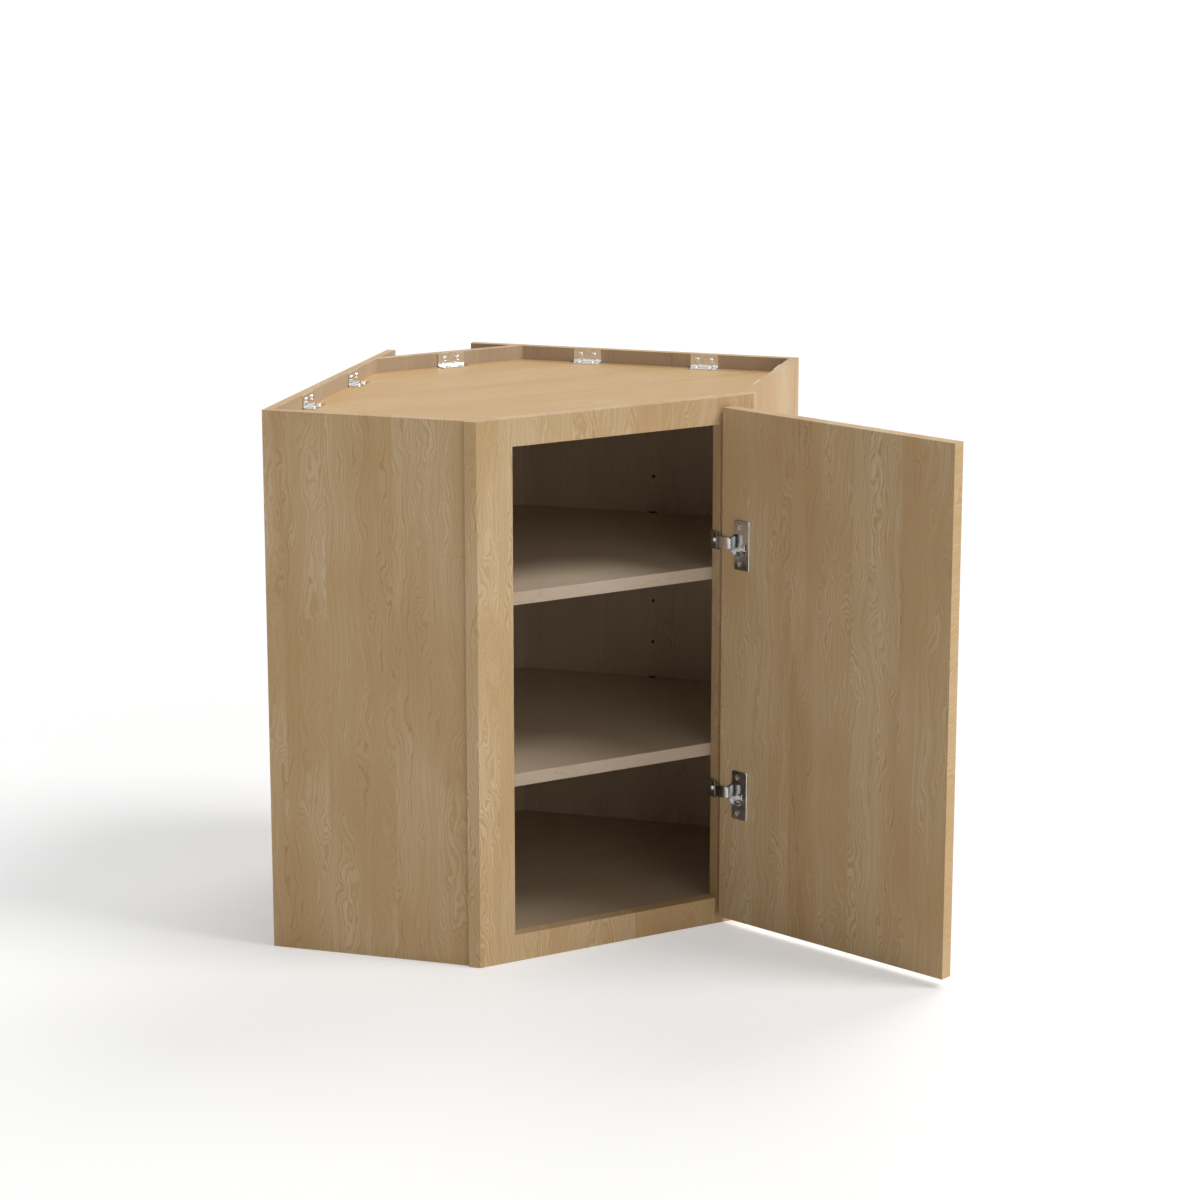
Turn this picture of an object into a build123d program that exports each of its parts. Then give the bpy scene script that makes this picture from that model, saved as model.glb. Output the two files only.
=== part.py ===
from build123d import *
from math import cos, radians, sin, sqrt
import os

# Diagonal corner wall cabinet with a slab door hung open on the right stile.
# Millimetres, Z up. The two room walls are the planes X = 0 (left) and Y = 0 (right), the origin is
# where they meet level with the cabinet's underside, and the cabinet fills X > 0, Y < 0.

# ---- Case ----
height = 762.0           # underside to top edge
wall_run = 609.6         # room corner to the outer face of either stile, along each wall
side_depth = 304.8       # wall to the front corner of either stile
panel = 12.7             # thickness of every side, back, top and bottom panel
stile_proud = 4.8        # a stile's return stands this far outside its side panel
back_start = 101.6       # room corner to the free end of each back panel
corner_reach = 183.3     # wall plane to where the slanted panel meets the other back panel
deck_recess = 20.3       # top panel below the top edges, bottom panel above the bottom edges

# ---- Face frame ----
frame_thick = 19.05
stile_width = 54.0
rail_height = 38.1
return_length = 16.9     # width of the return strip that shows beside each side panel

dowel_r = 4.0
dowel_half = 20.0        # depth of a dowel in each of the two pieces it joins
dowel_inset = 11.0       # dowel centre to the rail's edge
dowel_play = 0.05        # radial room round a dowel
dowel_end_play = 1.0

# ---- Shelves and their clips ----
shelf_thick = 18.0
shelf_front_gap = 1.0    # shelf edge to the back of the face frame
pin_pitch = 64.0
pin_first = 253.4        # height of the lowest pin hole
pin_count = 6
pin_hole_r = 2.5
pin_hole_depth = 9.5
pin_from_corner = 387.6  # pin column on a back panel to the room corner
pin_from_wall = 170.0    # pin column on a side panel to the wall
lower_pin_count = 0      # pin holes below the one that carries the lower shelf
upper_pin_count = 4      # pin holes below the one that carries the upper shelf

clip_width = 12.0
clip_plate = 1.8
clip_edge_play = 0.2     # clip plate to the shelf's edge
clip_pin_play = 0.05
clip_pin_end_play = 0.5
clip_ledge = 11.0        # reach of the ledge under the shelf, from the wall
clip_ledge_thick = 2.0
clip_lip = 6.0           # reach of the rounded lip over the shelf, from the wall
clip_lip_thick = 1.3
clip_skirt = 4.0         # plate below the ledge

# ---- Corner brackets ----
bracket_width = 42.0
bracket_leg = 20.0
bracket_thick = 1.6
bracket_bend = 2.0       # inside radius of the bend
bracket_corner = 2.0     # rounded outer corners of the legs
bracket_screw_gap = 20.6
bracket_screw_reach = 12.0
bracket_hole_r = 1.8
side_brackets = (82.0, 212.0)    # from the wall, on each side panel
back_brackets = (285.0, 465.0)   # from the room corner, on each back panel

screw_r = 1.5
screw_length = 9.0       # in the wood
screw_head_r = 3.5
screw_head = 2.1
screw_play = 0.05        # radial room round a screw in its pilot hole
screw_end_play = 0.8
cross_width = 0.9
cross_depth = 1.2

# ---- Door ----
door_thick = 19.05
door_overlay = 31.75     # door edge past the opening, on each side
door_reveal = 12.7       # frame left showing above and below the door
door_gap = 3.0           # shut door to the face frame
open_angle = 110.0

# ---- Hinges ----
hinge_heights = (200.0, 560.0)   # lower and upper
pin_r = 1.2
pin_play = 0.05          # radial room of a knuckle on its pin
knuckle_r = 2.1
front_pin_inset = 1.8    # front pin inside the opening's edge
front_pin_out = 3.6      # front pin in front of the face frame
cup_pin_edge = 14.3      # cup pin to the door's hinge edge
cup_pin_depth = 3.0      # cup pin below the door's inner face
link_turn = 57.5         # turn of the link while the door opens
link_half = 8.3          # half height of the link
link_neck_half = 7.0     # half height where it dips into the cup
# Plan of the link with the door open: distance from the door's hinge edge, height above its inner face.
link_arm = [(-6.3, -0.2), (-4.6, 2.4), (4.6, 3.7), (13.9, 2.4), (13.9, 0.9), (4.4, 2.2), (-3.2, 1.0), (-3.9, 0.1)]
link_neck = [(11.9, 2.3), (13.9, 2.4), (16.4, 1.7), (16.9, 0.3), (15.9, -2.5), (12.6, -3.0), (12.35, 0.9)]
leaf_knuckle_half = 5.5
knuckle_end_play = 0.2

cup_depth = 12.3
cup_floor = 0.8
cup_play = 0.05          # room round the cup in the door's pocket
cup_rim = 0.5            # rim above the door's inner face beside the link
cup_lip = 1.4            # flared lip above it further in
cup_taper_depth = 6.0    # depth at which the cup's sloping walls end
# Half outlines of the cup: distance from the door's hinge edge, half height there.
cup_outside = [(11.1, 8.6), (13.2, 8.6), (23.2, 16.0), (37.5, 16.4), (46.3, 8.6)]
cup_mouth = [(11.9, 7.7), (13.5, 7.7), (23.5, 15.1), (37.2, 15.5), (45.4, 8.2)]
cup_inside = [(11.9, 7.7), (13.5, 7.7), (20.5, 13.0), (36.4, 14.0), (44.2, 7.6)]
ear_thick = 1.3
ear_low = 3.2            # ear below the cup pin
flange_edge = 23.1       # flange to the door's hinge edge
flange_width = 26.6
flange_height = 70.8
flange_thick = 2.4
flange_corner = 3.0
flange_round = 1.0       # rounded top edge of the flange
cup_screw_gap = 52.0
cup_screw_in = 11.6      # cup screws to the flange's near edge
cup_screw_r = 1.8
cup_screw_length = 12.0
cup_screw_head_r = 4.0
cup_screw_head = 2.0
dimple_play = 0.4
spring_thick = 0.9
spring_half = 4.2
spring_drop = 6.4        # spring below the middle of the cup
spring_near = 18.0       # spring's ends, from the door's hinge edge
spring_far = 31.0
spring_lean = 1.6        # run and height of the spring's raised end
spring_rise = 2.4

leaf_thick = 4.2
leaf_back = 20.5         # leaf's back edge behind the frame's front face
leaf_front = 0.5         # leaf's front edge behind the frame's front face
leaf_half = 13.0
leaf_notch = 4.5
slot_half = 7.0
slot_r = 2.2
leaf_screw_in = 8.5      # leaf screw behind the frame's front face
leaf_screw_length = 16.0
leaf_screw_head_r = 3.8

# ---- Worked out from the sizes above ----
inner_run = wall_run - stile_proud - panel          # room corner to a side panel's inner face
front_length = (wall_run - side_depth) * sqrt(2)    # width of the diagonal face frame
opening_right = front_length - stile_width          # hinge side of the doorway
corner_sum = corner_reach + panel                   # X - Y on the slanted panel's inner face
front_sum = wall_run + side_depth                   # X - Y on the face frame's front
back_of_frame = front_sum - frame_thick * sqrt(2)   # X - Y on the face frame's back
deck_top = height - deck_recess
door_edge = opening_right + door_overlay            # hinge edge of the shut door
door_width = opening_right - stile_width + 2 * door_overlay
clip_gap = clip_plate + clip_edge_play              # shelf edge to the panels

# The face frame's own axes: X along the front from the left corner, Y inwards, Z up.
FRONT = Plane(origin=(side_depth, -wall_run, 0), x_dir=(1, 1, 0), z_dir=(0, 0, 1))
# Mirror plane that swaps the left and right halves of the case.
MIDDLE = Plane(origin=(0, 0, 0), z_dir=(1, 1, 0))


def prism(points, low, high):
    """Upright solid on a plan outline, between two heights."""
    outline = make_face(Polyline(*points, close=True))
    return Pos(0, 0, low) * extrude(outline, amount=high - low, dir=(0, 0, 1))


def rod(radius, low, high):
    """Upright round bar on the Z axis."""
    return Pos(0, 0, low) * Cylinder(radius, high - low, align=(Align.CENTER, Align.CENTER, Align.MIN))


def block(x0, x1, y0, y1, z0, z1):
    return Pos(x0, y0, z0) * Box(x1 - x0, y1 - y0, z1 - z0, align=(Align.MIN, Align.MIN, Align.MIN))


def mirrored(shape):
    return mirror(shape, about=MIDDLE)


def drill(shape, tools):
    """Cut every tool out of a shape."""
    for tool in tools:
        shape = shape - tool
    return shape


def spot(x, y, inward):
    """A place on a panel's inner face, with local Y pointing into the cabinet at this compass angle."""
    return Location((x, y, 0), (0, 0, inward - 90))


# ---- Places on the inner faces ----
left_side_spot = lambda along: spot(along, -inner_run, 90)
left_back_spot = lambda along: spot(panel, -along, 0)
right_back_spot = lambda along: spot(along, -panel, -90)
right_side_spot = lambda along: spot(inner_run, -along, 180)
corner_spot = spot(corner_sum / 2, -corner_sum / 2, -45)
rail_spot = FRONT.location * Pos(front_length / 2, frame_thick, 0)

bracket_spots = {
    "left_side_rear": left_side_spot(side_brackets[0]),
    "left_side_front": left_side_spot(side_brackets[1]),
    "left_back_inner": left_back_spot(back_brackets[0]),
    "left_back_outer": left_back_spot(back_brackets[1]),
    "corner": corner_spot,
    "right_back_inner": right_back_spot(back_brackets[0]),
    "right_back_outer": right_back_spot(back_brackets[1]),
    "right_side_rear": right_side_spot(side_brackets[0]),
    "right_side_front": right_side_spot(side_brackets[1]),
    "front_rail": rail_spot,
}
pin_spots = {
    "left_side": left_side_spot(pin_from_wall),
    "left_back": left_back_spot(pin_from_corner),
    "corner": corner_spot,
    "right_back": right_back_spot(pin_from_corner),
    "right_side": right_side_spot(pin_from_wall),
}
pin_heights = [pin_first + pin_pitch * k for k in range(pin_count)]

# On the top panel a bracket stands up, under the bottom panel it hangs down.
decks = {
    "top": Location((0, 0, deck_top)),
    "bottom": Location((0, 0, deck_recess)) * Rotation(180, 0, 0),
}


def bracket_place(place, level):
    """Where a bracket sits: its corner line on the panel and on the face of the top or bottom panel."""
    if level == "top":
        return Pos(0, 0, deck_top) * place
    return Pos(0, 0, deck_recess) * place


# ---- Screws ----
def cross_recess(top):
    bar = Box(cross_width, screw_head_r * 1.2, cross_depth, align=(Align.CENTER, Align.CENTER, Align.MAX))
    return Pos(0, 0, top) * (bar + Rotation(0, 0, 90) * bar)


def pan_screw(shank_r, length, head_r):
    """Round-headed screw: its seat at Z = 0 and its point at Z = -length."""
    head = rod(head_r, 0, screw_head)
    head = fillet(head.edges().group_by(Axis.Z)[-1], screw_head * 0.6)
    return head + rod(shank_r, -length, 0) - cross_recess(screw_head)


def flat_screw():
    """Countersunk screw: the face of its head at Z = 0."""
    cone = Cone(cup_screw_r, cup_screw_head_r, cup_screw_head, align=(Align.CENTER, Align.CENTER, Align.MAX))
    return cone + rod(cup_screw_r, -cup_screw_length, -cup_screw_head) - cross_recess(0)


FACE_OUT = Rotation(-90, 0, 0)   # turns a screw or bore on Z so that it points along +Y
screw_x = (-bracket_screw_gap / 2, bracket_screw_gap / 2)
pilot_depth = screw_length + screw_end_play


def bracket_screw_places(up):
    """Seats of a bracket's four screws: two on the upright leg, two on the flat leg."""
    on_wall = [Pos(x, bracket_thick, up * bracket_screw_reach) * FACE_OUT for x in screw_x]
    flip = Rotation(0, 0, 0) if up > 0 else Rotation(180, 0, 0)
    on_deck = [Pos(x, bracket_screw_reach, up * bracket_thick) * flip for x in screw_x]
    return on_wall, on_deck


def pilot_holes(names, level, leg):
    """Pilot holes for one leg's screws at the named brackets. leg is 0 for the panel, 1 for the deck."""
    up = 1 if level == "top" else -1
    pilot = rod(screw_r + screw_play, -bracket_thick - pilot_depth, 0)
    holes = []
    for name in names:
        for seat in bracket_screw_places(up)[leg]:
            holes.append(bracket_place(bracket_spots[name], level) * seat * pilot)
    return holes


def wall_pilots(*names):
    return pilot_holes(names, "top", 0) + pilot_holes(names, "bottom", 0)


def bracket(up):
    """Bent steel bracket in its corner: local Y away from the panel, Z away from the deck."""
    along = block(-bracket_width / 2, bracket_width / 2, 0, bracket_leg, 0, bracket_thick)
    stand = block(-bracket_width / 2, bracket_width / 2, 0, bracket_thick, 0, bracket_leg)
    angle = along + stand
    bends = angle.edges().filter_by(Axis.X)
    inside = [e for e in bends if abs(e.center().Y - bracket_thick) < 0.01 and abs(e.center().Z - bracket_thick) < 0.01]
    angle = fillet(inside, bracket_bend)
    outside = [e for e in angle.edges().filter_by(Axis.X) if e.center().Y < 0.01 and e.center().Z < 0.01]
    angle = fillet(outside, bracket_bend + bracket_thick)
    tips = angle.edges().filter_by(Axis.Y).filter_by(lambda e: e.center().Z > bracket_leg - 0.01)
    tips += angle.edges().filter_by(Axis.Z).filter_by(lambda e: e.center().Y > bracket_leg - 0.01)
    angle = fillet(tips, bracket_corner)
    hole = rod(bracket_hole_r, -2 * bracket_thick, bracket_thick)
    on_wall, on_deck = bracket_screw_places(1)
    angle = drill(angle, [seat * hole for seat in on_wall + on_deck])
    if up < 0:
        return mirror(angle, about=Plane.XY)
    return angle


# ---- Pin holes and clips ----
def pin_holes(*names):
    bore = FACE_OUT * rod(pin_hole_r, -pin_hole_depth, 0)
    return [Pos(0, 0, z) * pin_spots[name] * bore for name in names for z in pin_heights]


def shelf_clip():
    """Locking clip, with its pin at Z = 0: a plate on the panel, a ledge under the shelf, a lip over it."""
    half = shelf_thick / 2
    low, high = -half - clip_ledge_thick, half + clip_lip_thick
    side = clip_width / 2
    plate = block(-side, side, 0, clip_plate, low - clip_skirt, high)
    ledge = block(-side, side, 0, clip_ledge, low, -half)
    rib = [(clip_plate, low - clip_skirt), (clip_ledge, low), (clip_plate, low)]
    web = extrude(Plane.YZ * make_face(Polyline(*rib, close=True)), amount=clip_plate / 2, both=True)
    cap = Ellipse(side, clip_lip - clip_plate) & Pos(0, clip_lip / 2) * Rectangle(clip_width, clip_lip)
    lip = Pos(0, clip_plate, half) * extrude(cap, amount=clip_lip_thick)
    pin = FACE_OUT * rod(pin_hole_r - clip_pin_play, -pin_hole_depth + clip_pin_end_play, 0)
    return plate + ledge + web + lip + pin


def shelf_clips(pins_below):
    clip = shelf_clip()
    return Compound([Pos(0, 0, pin_heights[pins_below]) * place * clip for place in pin_spots.values()])


# ---- Flat panels with the cabinet's plan outline ----
def plan_outline(gap, front_gap):
    """The inside of the case in plan, drawn in from the panels and from the frame."""
    near, far = panel + gap, inner_run - gap
    slant = corner_sum + gap * sqrt(2)
    front = back_of_frame - front_gap * sqrt(2)
    return [
        (near, -far),
        (front - far, -far),
        (far, far - front),
        (far, -near),
        (slant - near, -near),
        (near, near - slant),
    ]


def shelf(pins_below):
    middle = pin_heights[pins_below]
    return prism(plan_outline(clip_gap, shelf_front_gap), middle - shelf_thick / 2, middle + shelf_thick / 2)


def deck(level):
    low = deck_top - panel if level == "top" else deck_recess
    return drill(prism(plan_outline(0, 0), low, low + panel), pilot_holes(bracket_spots, level, 1))


# ---- Case panels ----
def side_panel():
    """Left side panel, with its front end bevelled to lie on the back of the stile."""
    outer = wall_run - stile_proud
    shoulder = side_depth - return_length
    outline = [
        (0, -outer),
        (shoulder, -outer),
        (shoulder, shoulder - back_of_frame),
        (back_of_frame - inner_run, -inner_run),
        (0, -inner_run),
    ]
    return prism(outline, 0, height)


def back_panel():
    """Left back panel."""
    return block(0, panel, -inner_run, -back_start, 0, height)


def corner_panel():
    outer_sum = corner_sum - panel * sqrt(2)
    outline = [
        (panel, panel - corner_sum),
        (corner_sum - panel, -panel),
        (outer_sum - panel, -panel),
        (panel, panel - outer_sum),
    ]
    return prism(outline, 0, height)


# ---- Face frame, in its own axes ----
def dowel_axes():
    """Centre of every dowel, on the seam between a rail and a stile."""
    seams = (stile_width, opening_right)
    heights = [base + h for base in (0, height - rail_height) for h in (dowel_inset, rail_height - dowel_inset)]
    return [Pos(x, frame_thick / 2, z) * Rotation(0, 90, 0) for x in seams for z in heights]


def dowel_holes():
    reach = dowel_half + dowel_end_play
    return [place * rod(dowel_r + dowel_play, -reach, reach) for place in dowel_axes()]


def left_stile():
    back = return_length / sqrt(2)
    outline = [
        (0, 0),
        (-back, back),
        (frame_thick - 2 * back, frame_thick),
        (stile_width, frame_thick),
        (stile_width, 0),
    ]
    return drill(prism(outline, 0, height), dowel_holes())


def right_stile():
    """The left stile's mirror image, drilled for the two leaf screws."""
    flip = Plane(origin=(front_length / 2, 0, 0), z_dir=(1, 0, 0))
    stile = mirror(left_stile(), about=flip)
    reach = leaf_thick + leaf_screw_length + screw_end_play
    pilot = rod(cup_screw_r + screw_play, -reach, 0)
    return drill(stile, [leaf_screw_place(z) * pilot for z in hinge_heights])


def rail(low):
    plank = block(stile_width, opening_right, 0, frame_thick, low, low + rail_height)
    return drill(plank, dowel_holes())


# ---- Door and hinges, in the face frame's axes ----
def at_door(a, h):
    """Plan point at a from the shut door's hinge edge and h above its inner face."""
    return (door_edge - a, -door_gap + h)


front_pin = (opening_right - front_pin_inset, -front_pin_out)
cup_pin_shut = at_door(cup_pin_edge, -cup_pin_depth)


def turned(point, centre, angle):
    c, s = cos(radians(angle)), sin(radians(angle))
    x, y = point[0] - centre[0], point[1] - centre[1]
    return (centre[0] + c * x - s * y, centre[1] + s * x + c * y)


# Opening turns the link about the front pin one way and the door the other way.
cup_pin_open = turned(cup_pin_shut, front_pin, -link_turn)
OPEN_DOOR = Pos(*cup_pin_open, 0) * Rotation(0, 0, open_angle) * Pos(-cup_pin_shut[0], -cup_pin_shut[1], 0)

DOOR_FACE = Rotation(-90, 0, 0)   # turns a tool on Z so that +Z points out of the door's inner face


def on_door(a, h, z):
    """A place on the shut door's inner face, with local Z pointing out of it."""
    x, y = at_door(a, h)
    return Pos(x, y, z) * DOOR_FACE


def cup_sketch(half_outline):
    """Face in the cup's plan on the XY plane: X towards the door's hinge edge, Y upwards."""
    upper = [(-a, h) for a, h in half_outline]
    lower = [(-a, -h) for a, h in reversed(half_outline)]
    return make_face(Polyline(*(upper + lower), close=True))


def cup_layer(half_outline, low, high):
    return Pos(0, 0, low) * extrude(cup_sketch(half_outline), amount=high - low, dir=(0, 0, 1))


def door_panel():
    x1, y1 = at_door(0, 0)
    slab = block(x1 - door_width, x1, y1 - door_thick, y1, door_reveal, height - door_reveal)
    opening = offset(cup_sketch(cup_outside), cup_play, kind=Kind.INTERSECTION)
    pocket = extrude(opening, amount=cup_depth + cup_play, dir=(0, 0, -1))
    pilot = rod(cup_screw_r + screw_play, -cup_screw_length - screw_end_play, 0)
    for z in hinge_heights:
        slab = slab - on_door(0, 0, z) * pocket
        for dz in (-cup_screw_gap / 2, cup_screw_gap / 2):
            slab = slab - on_door(flange_edge + cup_screw_in, 0, z + dz) * pilot
    return slab


def cup_screw_places(z):
    in_line = flange_edge + cup_screw_in
    return [on_door(in_line, flange_thick - dimple_play / 2, z + dz) for dz in (-cup_screw_gap / 2, cup_screw_gap / 2)]


def hinge_cup(z):
    """Cast cup with a flat flange, a flared lip and two ears that hold the cup pin."""
    plate = extrude(RectangleRounded(flange_width, flange_height, flange_corner), amount=flange_thick)
    plate = fillet(plate.edges().group_by(Axis.Z)[-1], flange_round)
    body = Pos(-flange_edge - flange_width / 2, 0, 0) * plate
    body += cup_layer(cup_outside, -cup_depth, cup_rim)
    flare = cup_layer(cup_outside, 0, cup_lip)
    body += flare & block(-flange_edge, -cup_pin_edge - knuckle_r, -cup_depth * 2, cup_depth * 2, 0, cup_lip)
    body -= cup_layer(cup_mouth, 0, flange_thick)
    body -= loft([cup_sketch(cup_mouth), Pos(0, 0, -cup_taper_depth) * cup_sketch(cup_inside)])
    body -= cup_layer(cup_inside, cup_floor - cup_depth, -cup_taper_depth)
    inner = link_neck_half + knuckle_end_play
    for low in (inner, -inner - ear_thick):
        left, right = -cup_pin_edge - knuckle_r, -cup_mouth[0][0]
        body += block(left, right, low, low + ear_thick, -cup_pin_depth - ear_low, -cup_pin_depth + knuckle_r)
    bore = rod(pin_r + pin_play, -inner - ear_thick, inner + ear_thick)
    body -= Pos(-cup_pin_edge, 0, -cup_pin_depth) * Rotation(90, 0, 0) * bore
    dimple_r = cup_screw_head_r + dimple_play
    dimple = Cone(cup_screw_r + dimple_play, dimple_r, flange_thick, align=(Align.CENTER, Align.CENTER, Align.MAX))
    for dz in (-cup_screw_gap / 2, cup_screw_gap / 2):
        body -= Pos(-flange_edge - cup_screw_in, dz, flange_thick) * dimple
    return on_door(0, 0, z) * body


def cup_pin(z):
    half = link_neck_half + knuckle_end_play + ear_thick
    return Pos(*cup_pin_shut, z) * rod(pin_r, -half, half)


def strip(points, thick, half, z):
    """Bent metal strip: a plan line given its thickness, with an even height."""
    line = Polyline(*points)
    face = trace(line, thick)
    return Pos(0, 0, z - half) * extrude(face, amount=2 * half, dir=(0, 0, 1))


def closing_spring(z):
    """Flat spring on the cup's floor, with its far end turned up."""
    floor = -cup_depth + cup_floor + spring_thick / 2
    points = [(spring_near, floor), (spring_far, floor), (spring_far + spring_lean, floor + spring_rise)]
    return strip([at_door(*p) for p in points], spring_thick, spring_half, z - spring_drop)


def hinge_link(z):
    """Link, drawn where the open door puts it: over the door's edge and down into the cup."""
    body = prism([at_door(*p) for p in link_arm], z - link_half, z + link_half)
    body += prism([at_door(*p) for p in link_neck], z - link_neck_half, z + link_neck_half)
    body += Pos(*cup_pin_shut, z) * rod(knuckle_r, -link_neck_half, link_neck_half)
    body = OPEN_DOOR * body
    body += Pos(*front_pin, z) * rod(knuckle_r, -link_half, link_half)
    inner = leaf_knuckle_half + knuckle_end_play
    body -= Pos(*front_pin, z) * rod(knuckle_r + 2 * knuckle_end_play, -inner, inner)
    for point in (front_pin, cup_pin_open):
        body -= Pos(*point, z) * rod(pin_r + pin_play, -link_half, link_half)
    return body


def leaf_screw_place(z):
    """Seat of a leaf screw, with local Z pointing into the doorway."""
    return Pos(opening_right - leaf_thick, leaf_screw_in, z) * Rotation(0, -90, 0)


def hinge_leaf(z):
    """Stile leaf: a notched plate on the doorway's edge and a knuckle in front of the frame."""
    outline = [
        (leaf_back, -leaf_half),
        (leaf_front, -leaf_half),
        (leaf_front, leaf_half),
        (leaf_back, leaf_half),
        (leaf_back - leaf_notch, 0),
    ]
    side = Plane(origin=(opening_right, 0, z), x_dir=(0, 1, 0), z_dir=(-1, 0, 0))
    face = make_face(Polyline(*[(x, -y) for x, y in outline], close=True))
    plate = side * extrude(face, amount=leaf_thick)
    x, y = front_pin
    plate += block(x - knuckle_r, x + front_pin_inset - 0.3, y, leaf_front + knuckle_r, z - leaf_knuckle_half, z + leaf_knuckle_half)
    plate += Pos(x, y, z) * rod(knuckle_r, -leaf_knuckle_half, leaf_knuckle_half)
    plate -= Pos(x, y, z) * rod(pin_r + pin_play, -leaf_half, leaf_half)
    slot = extrude(Rotation(0, 0, 90) * SlotOverall(2 * slot_half, 2 * slot_r), amount=leaf_thick)
    return plate - leaf_screw_place(z) * Rotation(0, 0, 90) * Pos(0, 0, -leaf_thick) * slot


def leaf_pin(z):
    return Pos(*front_pin, z) * rod(pin_r, -link_half, link_half)


# ---- Build every piece ----
parts = {}
side, back = side_panel(), back_panel()
parts["left_side_panel"] = drill(side, wall_pilots("left_side_rear", "left_side_front") + pin_holes("left_side"))
parts["right_side_panel"] = drill(
    mirrored(side), wall_pilots("right_side_rear", "right_side_front") + pin_holes("right_side")
)
parts["left_back_panel"] = drill(back, wall_pilots("left_back_inner", "left_back_outer") + pin_holes("left_back"))
parts["right_back_panel"] = drill(
    mirrored(back), wall_pilots("right_back_inner", "right_back_outer") + pin_holes("right_back")
)
parts["corner_back_panel"] = drill(corner_panel(), wall_pilots("corner") + pin_holes("corner"))
parts["top_panel"] = deck("top")
parts["bottom_panel"] = deck("bottom")
parts["lower_shelf"] = shelf(lower_pin_count)
parts["upper_shelf"] = shelf(upper_pin_count)
parts["lower_shelf_clips"] = shelf_clips(lower_pin_count)
parts["upper_shelf_clips"] = shelf_clips(upper_pin_count)

rail_drill = wall_pilots("front_rail")
parts["left_stile"] = FRONT.location * left_stile()
parts["right_stile"] = FRONT.location * right_stile()
parts["bottom_rail"] = drill(FRONT.location * rail(0), rail_drill)
parts["top_rail"] = drill(FRONT.location * rail(height - rail_height), rail_drill)
dowel = rod(dowel_r, -dowel_half, dowel_half)
parts["frame_dowels"] = FRONT.location * Compound([place * dowel for place in dowel_axes()])

case_screw = pan_screw(screw_r, screw_length + bracket_thick, screw_head_r)
for level, up in (("top", 1), ("bottom", -1)):
    shape = bracket(up)
    screws = []
    for name, place in bracket_spots.items():
        here = bracket_place(place, level)
        parts[f"{level}_bracket_{name}"] = here * shape
        on_wall, on_deck = bracket_screw_places(up)
        screws += [here * seat * case_screw for seat in on_wall + on_deck]
    parts[f"{level}_bracket_screws"] = Compound(screws)

leaf_screw = pan_screw(cup_screw_r, leaf_screw_length + leaf_thick, leaf_screw_head_r)
OPENED = FRONT.location * OPEN_DOOR
parts["door_panel"] = OPENED * door_panel()
for level, z in zip(("lower", "upper"), hinge_heights):
    parts[f"{level}_hinge_leaf"] = FRONT.location * hinge_leaf(z)
    parts[f"{level}_hinge_link"] = FRONT.location * hinge_link(z)
    parts[f"{level}_hinge_cup"] = OPENED * hinge_cup(z)
    parts[f"{level}_leaf_pin"] = FRONT.location * leaf_pin(z)
    parts[f"{level}_cup_pin"] = OPENED * cup_pin(z)
    parts[f"{level}_closing_spring"] = OPENED * closing_spring(z)
parts["hinge_leaf_screws"] = FRONT.location * Compound([leaf_screw_place(z) * leaf_screw for z in hinge_heights])
parts["hinge_cup_screws"] = OPENED * Compound([seat * flat_screw() for z in hinge_heights for seat in cup_screw_places(z)])

os.makedirs("parts", exist_ok=True)
for node, shape in parts.items():
    export_step(shape, f"parts/{node}.step")


def in_case(point):
    """A face frame plan point in the cabinet's own axes."""
    place = FRONT.location * Pos(*point, 0)
    return tuple(round(v, 4) for v in place.position)[:2]


print("nodes", len(parts))
print("front pin at", in_case(front_pin), "cup pin at rest", in_case(cup_pin_open))
print("door turn on the link", open_angle + link_turn, "door width", round(door_width, 2))
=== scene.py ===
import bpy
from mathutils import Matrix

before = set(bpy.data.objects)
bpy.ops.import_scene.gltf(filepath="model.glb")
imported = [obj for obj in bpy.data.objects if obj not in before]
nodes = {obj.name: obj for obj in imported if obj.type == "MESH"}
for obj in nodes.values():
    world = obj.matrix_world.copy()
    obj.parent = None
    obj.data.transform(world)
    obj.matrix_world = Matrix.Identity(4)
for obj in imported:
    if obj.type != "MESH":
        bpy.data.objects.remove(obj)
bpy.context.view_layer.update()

# %% Blender's own modules
import math

import bmesh
import bpy
from mathutils import Matrix, Vector

print("names", ", ".join(sorted(nodes)[:3]), "and", len(nodes) - 3, "more")

# %% [markdown]
# ## Boards need an edge
# A sawn board never has a perfectly sharp corner, and a corner with no width catches no light. The mesh of
# a CAD board is loose triangles, so a Weld modifier joins them first, and a Bevel modifier then rounds every
# corner that is sharp enough. The rounding would tilt the shading of the flat faces beside it, so a Weighted
# Normal modifier lets the largest faces decide. Modifiers leave the board's own mesh as it was.
# %% Round the corners
SAME_POINT = 0.00001
SHARP_CORNER = math.radians(30)
LARGE_FACES_DECIDE = 100


def soften(piece, width, segments=2):
    """Rounds the sharp corners of a CAD piece without touching its mesh."""
    weld = piece.modifiers.new("weld", "WELD")
    weld.merge_threshold = SAME_POINT
    bevel = piece.modifiers.new("soft edge", "BEVEL")
    bevel.width = width
    bevel.segments = segments
    bevel.limit_method = "ANGLE"
    bevel.angle_limit = SHARP_CORNER
    bevel.harden_normals = True
    flat_faces = piece.modifiers.new("flat faces", "WEIGHTED_NORMAL")
    flat_faces.weight = LARGE_FACES_DECIDE


print("corners over", round(math.degrees(SHARP_CORNER)), "degrees are rounded")

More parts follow.
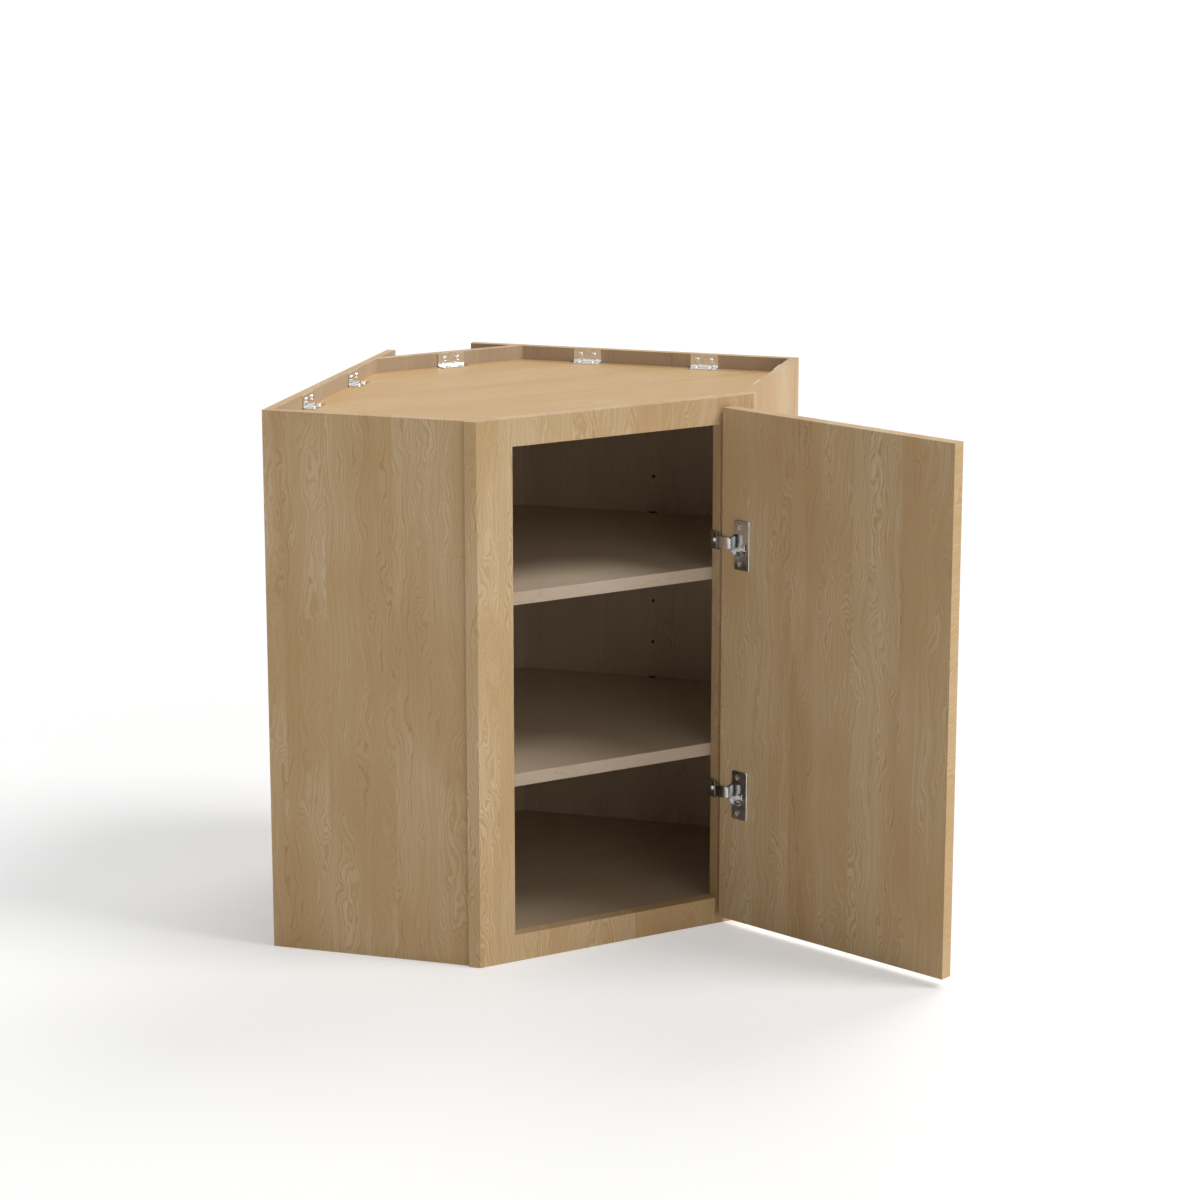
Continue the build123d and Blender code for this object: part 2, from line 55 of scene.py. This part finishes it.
# %% [markdown]
# ## Nodes for a material
# Each finish below is a small tree of shader nodes. A tree could be wired by hand in the editor, link by
# link. These helpers add a node and join its inputs in one line instead, so that a finish can be read from
# top to bottom like a recipe.
# %% Helpers for shader nodes
def new_finish(name):
    """A new material with its node tree and its main shader."""
    finish = bpy.data.materials.new(name)
    finish.use_nodes = True
    tree = finish.node_tree
    return finish, tree, tree.nodes["Principled BSDF"]


def add(tree, kind, settings=None, **inputs):
    """Adds a node. An input is given by its name, or by its number as i0, i1 and so on."""
    node = tree.nodes.new(kind)
    for key, value in (settings or {}).items():
        setattr(node, key, value)
    for key, value in inputs.items():
        numbered = key[1:].isdigit()
        socket = node.inputs[int(key[1:])] if numbered else node.inputs[key.replace("_", " ")]
        if isinstance(value, bpy.types.NodeSocket):
            tree.links.new(value, socket)
        else:
            socket.default_value = value
    return node


def maths(tree, operation, a, b=0.0, c=0.0):
    return add(tree, "ShaderNodeMath", {"operation": operation}, i0=a, i1=b, i2=c).outputs[0]


def along(tree, place, direction):
    """How far a place lies along a direction, or how far a normal leans that way."""
    unit = Vector(direction).normalized()
    dot = add(tree, "ShaderNodeVectorMath", {"operation": "DOT_PRODUCT"}, i0=place, i1=unit)
    return dot.outputs["Value"]


# %% Helpers for colours
def ramp(tree, factor, stops):
    """Turns a number into a number or colour along a few stops."""
    node = add(tree, "ShaderNodeValToRGB", Fac=factor)
    elements = node.color_ramp.elements
    while len(elements) < len(stops):
        elements.new(0.5)
    for element, (place, colour) in zip(elements, stops):
        element.position = place
        element.color = (*colour, 1) if isinstance(colour, tuple) else (colour, colour, colour, 1)
    return node.outputs["Color"]


def blend_colour(tree, factor, a, b):
    """Colour a where the factor is 0 and colour b where it is 1."""
    node = add(tree, "ShaderNodeMix", {"data_type": "RGBA"})
    for socket, value in zip((node.inputs[0], node.inputs[6], node.inputs[7]), (factor, a, b)):
        if isinstance(value, bpy.types.NodeSocket):
            tree.links.new(value, socket)
        else:
            socket.default_value = (*value, 1) if isinstance(value, tuple) else value
    return node.outputs[2]


def layer(tree, body, noise, stops, colour):
    """Lays a colour over the body as strongly as the noise says."""
    return blend_colour(tree, ramp(tree, noise, stops), body, colour)


# %% [markdown]
# ## Grain has a direction
# On a real board the figure is drawn out along the trunk. Noise does the same when a place is stretched
# before it is looked up: it changes often in a metre across the grain and seldom along it. A Mapping node
# first turns each board's own directions to X across the grain and Z along it, so one recipe fits them all.
# %% Directions of the grain
def grain_axes(across, along_grain):
    """Rotation that turns a board's own directions to X across the grain and Z along it."""
    across, along_grain = Vector(across).normalized(), Vector(along_grain).normalized()
    through = along_grain.cross(across)
    return Matrix((across, through, along_grain)).to_euler("XYZ")


def object_place(tree):
    return add(tree, "ShaderNodeTexCoord").outputs["Object"]


def board_place(tree, across, along_grain):
    turned = add(tree, "ShaderNodeMapping", {"vector_type": "POINT"})
    turned.inputs["Rotation"].default_value = grain_axes(across, along_grain)
    tree.links.new(object_place(tree), turned.inputs["Vector"])
    return turned.outputs[0]


def stretched_noise(tree, place, across, along_grain, detail=3.0, roughness=0.5):
    """Noise that changes this often a metre across the grain and along it."""
    stretch = (across, across, along_grain)
    scaled = add(tree, "ShaderNodeVectorMath", {"operation": "MULTIPLY"}, i0=place, i1=stretch)
    settings = {"Scale": 1.0, "Detail": detail, "Roughness": roughness}
    return add(tree, "ShaderNodeTexNoise", Vector=scaled.outputs[0], **settings).outputs["Fac"]


# %% [markdown]
# ## Staves side by side
# Wide boards are faced with strips about a hand wide, and no two strips come from the same place in the
# log. Each could be its own piece of mesh, but a 1D Voronoi texture does it in the finish: it cuts the
# board into lanes and gives each lane three random numbers. Each lane also reads its own place in the
# noise, so the figure changes from one stave to the next.
# %% Staves
STAVE_WIDTH = 0.11


def staves(tree, place, seed):
    """Three random numbers for each stave, the way across it, and the grain place moved on for it."""
    across = add(tree, "ShaderNodeSeparateXYZ", Vector=place).outputs["X"]
    lane = maths(tree, "MULTIPLY_ADD", across, 1.0 / STAVE_WIDTH, seed)
    one_way = {"voronoi_dimensions": "1D", "feature": "F1"}
    cells = add(tree, "ShaderNodeTexVoronoi", one_way, W=lane, Scale=1.0)
    chance = add(tree, "ShaderNodeSeparateColor", Color=cells.outputs["Color"]).outputs
    side = maths(tree, "SUBTRACT", lane, cells.outputs["W"])
    shift = add(tree, "ShaderNodeCombineXYZ", X=chance[0], Y=seed, Z=chance[1])
    moved = add(tree, "ShaderNodeVectorMath", {"operation": "ADD"}, i0=place, i1=shift.outputs[0])
    return chance, side, moved.outputs[0]


print("stave width in millimetres", 1000 * STAVE_WIDTH)

# %% [markdown]
# ## Growth lines with eyes
# The fine lines of this wood sway and close round small eyes. Drawing them by hand would take a picture of
# the wood. Here they are the contour lines of a slow hilly noise instead: the hills are steeper than the
# board is wide, so some contours close on themselves, and that makes the eyes.
# %% Growth lines
HILLS = ((8.0, 1.6, 0.10), (28.0, 9.0, 0.048), (75.0, 42.0, 0.0075))
LINES_PER_METRE = 300.0
PITCH_CHANGES_PER_METRE = 40.0
PITCH_CHANGE = 14.0


def growth_line(tree, place):
    """Contour number that rises across the board and swells round the eyes, in metres."""
    line = add(tree, "ShaderNodeSeparateXYZ", Vector=place).outputs["X"]
    for across, along_grain, height in HILLS:
        hills = stretched_noise(tree, place, across, along_grain, 2.0)
        line = maths(tree, "MULTIPLY_ADD", hills, height, line)
    return line


def line_noise(tree, line, scale, detail=2.0):
    one_way = {"noise_dimensions": "1D"}
    return add(tree, "ShaderNodeTexNoise", one_way, W=line, Scale=scale, Detail=detail).outputs["Fac"]


def fine_lines(tree, line):
    """Even lines, 0 in the dark late wood and 1 between, with a slow change of pitch."""
    drift = line_noise(tree, line, PITCH_CHANGES_PER_METRE)
    drift = maths(tree, "MULTIPLY", drift, PITCH_CHANGE)
    turns = maths(tree, "MULTIPLY_ADD", line, LINES_PER_METRE * math.tau, drift)
    return maths(tree, "MULTIPLY_ADD", maths(tree, "SINE", turns), 0.5, 0.5)


print("growth lines in a centimetre", LINES_PER_METRE / 100)

# %% [markdown]
# ## The figure, layer on layer
# A light, clear-lacquered wood shows several things at once: pale and darker bands, warm streaks along the
# edges of a stave, growth lines, fibres, and short dark pores. Each is one layer below, from the broadest
# to the finest, and each layer lays one of four tones of the same wood over what is there. The four tones
# run from pale to brown. The outside is golden, the inside of the cabinet is a duller taupe.
# %% Tones of the wood
WOOD_TONES = {
    "outer": ((0.710, 0.556, 0.356), (0.656, 0.482, 0.279), (0.566, 0.364, 0.174), (0.430, 0.236, 0.096)),
    "golden": ((0.672, 0.480, 0.262), (0.637, 0.432, 0.217), (0.580, 0.372, 0.174), (0.450, 0.265, 0.112)),
    "edge band": ((0.715, 0.560, 0.345), (0.680, 0.500, 0.275), (0.600, 0.395, 0.190), (0.440, 0.245, 0.100)),
    "shelf": ((0.560, 0.458, 0.342), (0.550, 0.446, 0.330), (0.535, 0.428, 0.312), (0.490, 0.382, 0.270)),
    "taupe": ((0.585, 0.462, 0.332), (0.550, 0.427, 0.300), (0.505, 0.384, 0.264), (0.410, 0.298, 0.197)),
}
STREAK_TINT = (1.03, 1.03, 1.16)
print("tones", ", ".join(WOOD_TONES))


# %% The figure
def figure(tree, place, chance, side, line, tones):
    """Colour of the wood at a place, and its relief."""
    pale, body_tone, tan, brown = tones
    patches = stretched_noise(tree, place, 17.0, 3.4, 2.0)
    clouds = stretched_noise(tree, place, 8.0, 4.5, 1.0)
    fibres = stretched_noise(tree, place, 1000.0, 28.0, 3.0)
    pores = stretched_noise(tree, place, 1200.0, 120.0, 1.0)
    bands = line_noise(tree, line, 60.0, 3.0)
    rings = line_noise(tree, line, 210.0, 2.0)
    hearts = line_noise(tree, line, 420.0, 1.0)
    lines = fine_lines(tree, line)

    # Broad changes: bands that follow the growth lines, a few paler staves, and soft clouds.
    body = layer(tree, body_tone, bands, [(0.36, 0.0), (0.62, 1.0)], pale)
    body = layer(tree, body, chance[1], [(0.15, 0.8), (0.6, 0.0)], pale)
    body = layer(tree, body, clouds, [(0.42, 0.0), (0.62, 0.65)], tan)

    # Warm streaks along both edges of a stave, stronger in some staves and in patches.
    edges = ramp(tree, maths(tree, "ABSOLUTE", side), [(0.18, 0.0), (0.46, 1.0)])
    warm = maths(tree, "MULTIPLY", edges, maths(tree, "MULTIPLY_ADD", chance[2], 0.7, 0.3))
    warm = maths(tree, "MULTIPLY", warm, ramp(tree, patches, [(0.38, 0.1), (0.58, 1.0)]))
    streak = tuple(tint * part for tint, part in zip(STREAK_TINT, tan))
    body = blend_colour(tree, warm, body, streak)

    # Growth lines: wider rings, fine lines that fade in patches, and brown hearts in the streaks.
    body = layer(tree, body, rings, [(0.34, 0.45), (0.5, 0.0)], tan)
    strength = ramp(tree, patches, [(0.34, 0.5), (0.6, 1.0)])
    dark = maths(tree, "MULTIPLY", ramp(tree, lines, [(0.0, 1.0), (0.62, 0.0)]), strength)
    body = blend_colour(tree, dark, body, tan)
    heart = ramp(tree, hearts, [(0.34, 0.8), (0.42, 0.0)])
    deep = maths(tree, "MULTIPLY", heart, maths(tree, "MULTIPLY_ADD", warm, 0.8, 0.12))
    body = blend_colour(tree, deep, body, brown)

    # The finest marks, which also give the surface its relief.
    body = layer(tree, body, fibres, [(0.32, 0.4), (0.6, 0.0)], tan)
    body = layer(tree, body, pores, [(0.22, 0.55), (0.32, 0.0)], brown)
    relief = maths(tree, "MULTIPLY_ADD", fibres, 0.5, pores)
    return body, maths(tree, "MULTIPLY_ADD", lines, 0.25, relief)


# %% [markdown]
# ## Shade painted into the drilled holes
# Each inner face has a column of holes for the shelf pins. Their inside is coloured a near-black brown, a
# painted shade for the dark bore. The holes could be given a material slot of their own, but the CAD mesh
# stays as it is, so the recipe finds them by their place: behind the inner face and beside the middle of the
# column.
# %% Shelf pin holes
# Painted shade: a near-black brown stands in for the shadow inside the shelf pin holes.
PAINTED_HOLE_SHADE = (0.075, 0.052, 0.035)
HOLE_MIDDLE, HOLE_HALF_DEPTH = 0.0058, 0.0055
HOLE_REACH = 0.004
COLUMN_MIDDLE, COLUMN_HALF_HEIGHT = 0.4135, 0.18
UP = (0, 0, 1)


def in_pin_holes(tree, facing, face_at, across, column):
    """1 in the column of drilled holes behind a board's inner face, where shade is painted, 0 elsewhere."""
    place = object_place(tree)
    behind = maths(tree, "COMPARE", along(tree, place, facing), face_at - HOLE_MIDDLE, HOLE_HALF_DEPTH)
    beside = maths(tree, "COMPARE", along(tree, place, across), column, HOLE_REACH)
    height = maths(tree, "COMPARE", along(tree, place, UP), COLUMN_MIDDLE, COLUMN_HALF_HEIGHT)
    return maths(tree, "MULTIPLY", behind, maths(tree, "MULTIPLY", beside, height))


print("holes are dark to", round(1000 * (HOLE_MIDDLE + HOLE_HALF_DEPTH), 1), "millimetres behind the face")

# %% [markdown]
# ## Two tones on one board
# One board can wear two tones: the sides, backs, top and bottom are duller inside the cabinet than outside,
# and the door's free edge has a glued-on strip whose grain runs across it. A board could be cut up for
# this, but the way a face looks, read from the object's own normal, picks the tone just as well. The
# lacquer is thin and satin, so the wood shines little and its relief is shallow.
# %% The wood finish
LOOKS_THAT_WAY = 0.8
LACQUER_SHINE = 0.15
ROUGHNESS, ROUGHNESS_CHANGE = 0.52, -0.05
RELIEF_DEPTH = 0.0004


def two_tone(tree, body, other, facing):
    normal = add(tree, "ShaderNodeTexCoord").outputs["Normal"]
    turned = maths(tree, "GREATER_THAN", along(tree, normal, facing), LOOKS_THAT_WAY)
    return blend_colour(tree, turned, body, other)


def wood(name, grain, seed, tones="outer", second=None, holes=None):
    """Wood whose grain is (across, along). Second is (facing, grain, tones) of the faces that differ, and
    holes is (place of the inner face, place of the column across the grain)."""
    finish, tree, shader = new_finish(name)
    chance, side, place = staves(tree, board_place(tree, *grain), seed)
    body, relief = figure(tree, place, chance, side, growth_line(tree, place), WOOD_TONES[tones])
    if second:
        facing, other_grain, other_tones = second
        if other_grain != grain:
            place = board_place(tree, *other_grain)
        line = growth_line(tree, place)
        other, _ = figure(tree, place, chance, side, line, WOOD_TONES[other_tones])
        body = two_tone(tree, body, other, facing)
    if holes:
        face_at, column = holes
        # Painted shade: the holes are coloured near-black brown in place of the shadow inside them.
        inside = in_pin_holes(tree, facing, face_at, grain[0], column)
        body = blend_colour(tree, inside, body, PAINTED_HOLE_SHADE)
    roughness = maths(tree, "MULTIPLY_ADD", relief, ROUGHNESS_CHANGE, ROUGHNESS)
    bump = add(tree, "ShaderNodeBump", Height=relief, Strength=0.1, Distance=RELIEF_DEPTH)
    tree.links.new(body, shader.inputs["Base Color"])
    tree.links.new(roughness, shader.inputs["Roughness"])
    tree.links.new(bump.outputs[0], shader.inputs["Normal"])
    shader.inputs["Specular IOR Level"].default_value = LACQUER_SHINE
    return finish


# %% [markdown]
# ## One finish for each board
# Upright boards have upright grain, and the top, the bottom and the shelves have it along the cabinet's
# diagonal. Every board gets a seed of its own, so that no two show the same figure. A single finish for all
# would be shorter, but its figure would run on from one board to the next as if they were one block.
# %% Ways of the grain
DIAGONAL = (1, 1, 0)
DOOR_ALONG = (0.9065, -0.4229, 0)
along_x = ((1, 0, 0), UP)
along_y = ((0, 1, 0), UP)
slanted = (DIAGONAL, UP)
flat = ((1, -1, 0), DIAGONAL)
door_grain = (DOOR_ALONG, UP)
banded = ((-0.088, -0.188, 0.978), (0.414, 0.887, 0.208))
print("the open door points", [round(part, 2) for part in DOOR_ALONG])


# %% Woods of the boards
def case_wood(name, grain, seed, inside, holes=None, tones="outer"):
    """Wood of a case board, which is taupe on the side that looks into the cabinet."""
    return wood(name, grain, seed, tones, second=(inside, grain, "taupe"), holes=holes)


SIDE_FACE, BACK_FACE, CORNER_FACE = -0.5921, 0.0127, 0.1386
SIDE_COLUMN, BACK_COLUMN = 0.17, 0.3876
board_woods = {
    "left_side_panel": case_wood("left side wood", along_x, 3.1, (0, 1, 0), (SIDE_FACE, SIDE_COLUMN)),
    "right_side_panel": case_wood("right side wood", along_y, 8.4, (-1, 0, 0), (SIDE_FACE, -SIDE_COLUMN)),
    "left_back_panel": case_wood("left back wood", along_y, 15.2, (1, 0, 0), (BACK_FACE, -BACK_COLUMN)),
    "right_back_panel": case_wood("right back wood", along_x, 24.9, (0, -1, 0), (BACK_FACE, BACK_COLUMN)),
    "corner_back_panel": case_wood("slanted back wood", slanted, 21.2, (1, -1, 0), (CORNER_FACE, 0.0)),
    "top_panel": case_wood("top wood", flat, 5.3, (0, 0, -1), tones="golden"),
    "bottom_panel": case_wood("bottom wood", flat, 6.7, UP),
    "door_panel": wood("door wood", door_grain, 17.9, second=(DOOR_ALONG, banded, "edge band")),
}
frame_wood = wood("face frame wood", slanted, 12.7)
print("wood finishes", len(board_woods) + 1)

# %% [markdown]
# ## Shelf board, nickel and dark mouldings
# The shelves are cheaper board with a faint taupe grain, so they wear the wood recipe with tones that lie
# close together. Their clips are a dark plastic moulding, plain but for a trace of mottling. Brackets,
# screws and hinges are nickel plated: a metal's colour is its reflection, so the recipe is mostly a low
# roughness, with faint rolling marks to break the mirror up. The brackets are the smoothest.
# %% A plain finish
def mottled(name, colour, roughness):
    """A plain moulding or raw wood, a little uneven in tone and gloss."""
    finish, tree, shader = new_finish(name)
    place = object_place(tree)
    mottle = stretched_noise(tree, place, 45.0, 45.0, 4.0)
    speck = stretched_noise(tree, place, 1400.0, 1400.0, 2.0)
    darker = tuple(0.86 * part for part in colour)
    body = layer(tree, colour, mottle, [(0.35, 0.5), (0.65, 0.0)], darker)
    body = layer(tree, body, speck, [(0.3, 0.3), (0.45, 0.0)], darker)
    gloss = maths(tree, "MULTIPLY_ADD", mottle, 0.12, roughness - 0.06)
    bump = add(tree, "ShaderNodeBump", Height=speck, Strength=0.06, Distance=0.0002)
    tree.links.new(body, shader.inputs["Base Color"])
    tree.links.new(gloss, shader.inputs["Roughness"])
    tree.links.new(bump.outputs[0], shader.inputs["Normal"])
    return finish


# %% A metal finish
def nickel(name, colour, roughness):
    """Plated steel with faint smears and rolling marks."""
    finish, tree, shader = new_finish(name)
    place = object_place(tree)
    smears = stretched_noise(tree, place, 120.0, 120.0, 3.0)
    scratches = stretched_noise(tree, place, 900.0, 90.0, 2.0)
    duller = tuple(0.82 * part for part in colour)
    body = layer(tree, colour, smears, [(0.4, 0.6), (0.65, 0.0)], duller)
    gloss = maths(tree, "MULTIPLY_ADD", smears, 0.12, roughness - 0.04)
    bump = add(tree, "ShaderNodeBump", Height=scratches, Strength=0.05, Distance=0.0002)
    shader.inputs["Metallic"].default_value = 1.0
    tree.links.new(body, shader.inputs["Base Color"])
    tree.links.new(gloss, shader.inputs["Roughness"])
    tree.links.new(bump.outputs[0], shader.inputs["Normal"])
    return finish


# %% Finishes of the small pieces
shelf_face = wood("taupe shelf board", flat, 9.6, "shelf")
clip_plastic = mottled("dark clip moulding", (0.035, 0.024, 0.018), 0.5)
dowel_wood = mottled("raw dowel", (0.66, 0.50, 0.31), 0.7)
bright_nickel = nickel("bright nickel", (0.64, 0.635, 0.62), 0.17)
bracket_nickel = nickel("polished bracket nickel", (0.74, 0.73, 0.71), 0.08)
screw_nickel = nickel("bright zinc screws", (0.76, 0.75, 0.73), 0.2)
print("materials in the file", len(bpy.data.materials))

# %% [markdown]
# ## Which piece wears what
# One table pairs a word in a piece's name with its finish and the roundness of its corners in metres, so
# that a change of finish is a change in one place. The first word that fits is taken, and the large boards,
# which have a wood each, are what is left.
# %% Dress the pieces
BOARD_EDGE = 0.0006
DRESS_BY_WORD = (
    ("screws", screw_nickel, 0.00015),
    ("bracket", bracket_nickel, 0.0002),
    ("clips", clip_plastic, 0.0003),
    ("dowels", dowel_wood, 0.0004),
    ("hinge", bright_nickel, 0.0002),
    ("_pin", bright_nickel, 0.0002),
    ("spring", bright_nickel, 0.0002),
    ("_shelf", shelf_face, 0.0005),
    ("stile", frame_wood, 0.0005),
    ("rail", frame_wood, 0.0005),
)


def dress_for(name):
    for word, finish, edge in DRESS_BY_WORD:
        if word in name:
            return finish, edge
    return board_woods[name], BOARD_EDGE


for name, piece in nodes.items():
    finish, edge = dress_for(name)
    piece.data.materials.clear()
    piece.data.materials.append(finish)
    soften(piece, edge)
print("dressed", len(nodes))

# %% [markdown]
# ## A pale floor
# The cabinet stands on a pale sweep of paper. A white picture background could be had from more light, but
# that would bleach the wood. Instead the floor glows a little, and only for the camera and for what shows
# in the metal, so it fades to white with distance and keeps the shadow near the cabinet.
# %% What the camera sees as white
def seen_white(tree):
    """1 for the camera and for what shows in metal and glass, 0 for the rays that carry light."""
    path = add(tree, "ShaderNodeLightPath")
    shiny = maths(tree, "MAXIMUM", path.outputs["Is Glossy Ray"], path.outputs["Is Transmission Ray"])
    return maths(tree, "MAXIMUM", path.outputs["Is Camera Ray"], shiny)


# %% Floor
FLOOR_REACH = 30.0
FLOOR_MIDDLE = (0.3, -0.3, -0.0005)
FLOOR_TONE, FLOOR_TONE_WHEN_SEEN, FLOOR_GLOW = 0.85, 0.66, 0.40


def pale_floor():
    mesh = bmesh.new()
    bmesh.ops.create_grid(mesh, x_segments=1, y_segments=1, size=FLOOR_REACH)
    bmesh.ops.translate(mesh, verts=mesh.verts, vec=FLOOR_MIDDLE)
    data = bpy.data.meshes.new("floor")
    mesh.to_mesh(data)
    mesh.free()
    floor = bpy.data.objects.new("floor", data)
    bpy.context.scene.collection.objects.link(floor)
    return floor


def floor_finish():
    finish, tree, shader = new_finish("pale floor")
    seen = seen_white(tree)
    tone = maths(tree, "MULTIPLY_ADD", seen, FLOOR_TONE_WHEN_SEEN - FLOOR_TONE, FLOOR_TONE)
    grey = add(tree, "ShaderNodeCombineColor", i0=tone, i1=tone, i2=tone).outputs[0]
    glow = maths(tree, "MULTIPLY", seen, FLOOR_GLOW)
    tree.links.new(grey, shader.inputs["Base Color"])
    tree.links.new(glow, shader.inputs["Emission Strength"])
    shader.inputs["Emission Color"].default_value = (1, 1, 1, 1)
    shader.inputs["Roughness"].default_value = 0.6
    shader.inputs["Specular IOR Level"].default_value = 0.2
    return finish


floor = pale_floor()
floor.data.materials.append(floor_finish())
print("floor is", 2 * FLOOR_REACH, "metres wide")

# %% [markdown]
# ## White all round
# A studio's pale walls fill the shadows with a weak, slightly cool light. The world gives that light, and
# shows plain white to the camera and in the metal, so nothing but the shadow shows where the floor ends.
# %% World
SURROUND_LIGHT = 0.12
SURROUND_TINT = (0.97, 0.985, 1.0, 1)


def white_world():
    world = bpy.data.worlds.new("pale surround")
    world.use_nodes = True
    tree = world.node_tree
    light = tree.nodes["Background"]
    light.inputs["Strength"].default_value = SURROUND_LIGHT
    light.inputs["Color"].default_value = SURROUND_TINT
    white = add(tree, "ShaderNodeBackground", Strength=1.0, Color=(1, 1, 1, 1))
    sky = add(tree, "ShaderNodeMixShader", Fac=seen_white(tree), i1=light.outputs[0], i2=white.outputs[0])
    tree.links.new(sky.outputs[0], tree.nodes["World Output"].inputs["Surface"])
    bpy.context.scene.world = world


white_world()
print("surround light", SURROUND_LIGHT)

# %% [markdown]
# ## Soft lamps
# A product picture is lit by large soft lamps. The key lamp stands to the right and above. It just meets
# the free edge of the open door, which shades the shelves behind it. A low lamp near the right front lights
# the face frame, one behind the cabinet throws the short shadow forward, and a weak one fills the left.
# Area lamps would do as well, but a sun lamp with a wide angle is the same over the whole cabinet, and its
# softness is one number. Each row is a lamp's direction, strength, width in degrees and colour.
# %% Lamps
LAMPS = {
    "key lamp": ((0.64, 0.03, 0.77), 1.80, 24, (1.0, 0.99, 0.975)),
    "side lamp": ((0.62, -0.50, 0.25), 0.54, 50, (1.0, 1.0, 1.0)),
    "back lamp": ((0.19, 0.55, 0.70), 1.05, 28, (1.0, 1.0, 1.0)),
    "fill lamp": ((-0.25, -0.80, 0.36), 0.14, 70, (1.0, 1.0, 1.0)),
}


def soft_lamp(name, towards, strength, width, colour):
    """A wide, far-off lamp that shines from one direction."""
    data = bpy.data.lights.new(name, "SUN")
    data.energy = strength
    data.angle = math.radians(width)
    data.color = colour
    lamp = bpy.data.objects.new(name, data)
    bpy.context.scene.collection.objects.link(lamp)
    lamp.rotation_euler = (-Vector(towards)).to_track_quat("-Z", "Y").to_euler()


for name, (towards, strength, width, colour) in LAMPS.items():
    soft_lamp(name, towards, strength, width, colour)
print("lamps", ", ".join(LAMPS))

# %% [markdown]
# ## The camera
# The picture was taken from far off with a long lens, a little above the cabinet's top. Place, turn and
# lens below were fitted so that the corners of the boards fall close to where they do in the photograph.
# Its uprights are exactly parallel, which takes a large lens shift. A shift stays on in every other view
# too, and would push the cabinet out of it, so this camera looks down instead and is shifted very little.
# %% Camera
LENS, FILM_WIDTH = 98.0, 36.0
FRAME_SHIFT = -0.057
STANDPOINT = (1.62938, -4.63657, 1.58092)
LOOKS_DOWN, LOOKS_LEFT = 12.855, 15.992


def photo_camera():
    data = bpy.data.cameras.new("camera")
    data.lens = LENS
    data.sensor_width = FILM_WIDTH
    data.shift_y = FRAME_SHIFT
    data.clip_end = 50.0
    camera = bpy.data.objects.new("camera", data)
    bpy.context.scene.collection.objects.link(camera)
    camera.location = STANDPOINT
    camera.rotation_euler = (math.radians(90 - LOOKS_DOWN), 0, math.radians(LOOKS_LEFT))
    bpy.context.scene.camera = camera


photo_camera()
bpy.context.scene.view_settings.view_transform = "Standard"
print("camera stands", round(Vector(STANDPOINT).length, 2), "metres from the room's corner")
